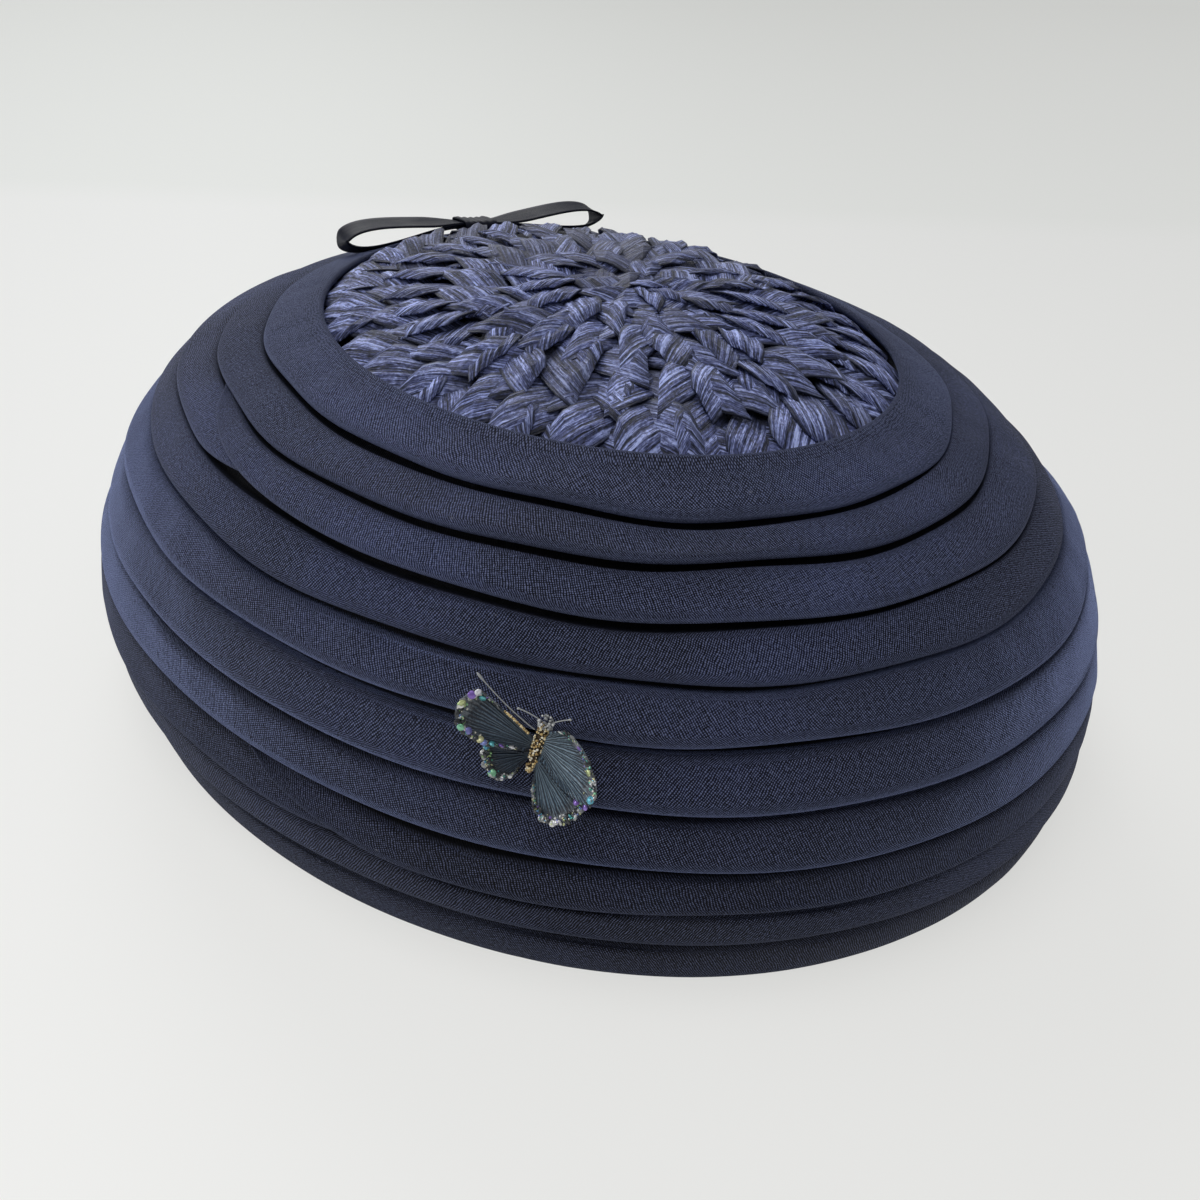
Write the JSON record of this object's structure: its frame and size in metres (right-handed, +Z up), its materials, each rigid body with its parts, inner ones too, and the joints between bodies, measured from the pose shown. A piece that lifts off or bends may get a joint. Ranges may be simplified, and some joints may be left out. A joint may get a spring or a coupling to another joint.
{
  "type": "pillbox hat",
  "caption": "Oval pillbox hat of overlapping folded navy cloth tiers round a domed plaited straw top, with a small ribbon bow and a glitter butterfly.",
  "frame": {"origin": "on the surface it rests on, under the middle of its widest girth", "axes": "+X along the oval's long way, +Y along its short way away from the butterfly, +Z up through the straw top"},
  "size_m": [0.2072, 0.1744, 0.0791],
  "materials": {
    "navy_cloth": "fine plain-weave navy silk, soft sheen at a low angle",
    "navy_straw": "crinkled paper straw in slate navy, plaited",
    "satin_ribbon": "dark navy satin ribbon",
    "wing_cloth": "blue-grey ribbed wing cloth with glitter and sequins along its edge",
    "gold_glitter": "pale gold glitter and wire"
  },
  "bodies": {
    "root": {"fold_01": "navy_cloth", "fold_02": "navy_cloth", "fold_03": "navy_cloth", "fold_04": "navy_cloth", "fold_05": "navy_cloth", "fold_06": "navy_cloth", "fold_07": "navy_cloth", "fold_08": "navy_cloth", "fold_09": "navy_cloth", "fold_10": "navy_cloth", "straw_top": "navy_straw", "bow_loop_left": "satin_ribbon", "bow_loop_right": "satin_ribbon", "bow_knot": "satin_ribbon", "butterfly_body": "gold_glitter", "butterfly_wing_left_upper": "wing_cloth", "butterfly_wing_left_lower": "wing_cloth", "butterfly_wing_right_upper": "wing_cloth", "butterfly_wing_right_lower": "wing_cloth", "butterfly_antenna_left": "gold_glitter", "butterfly_antenna_right": "gold_glitter"}
  },
  "joints": []
}
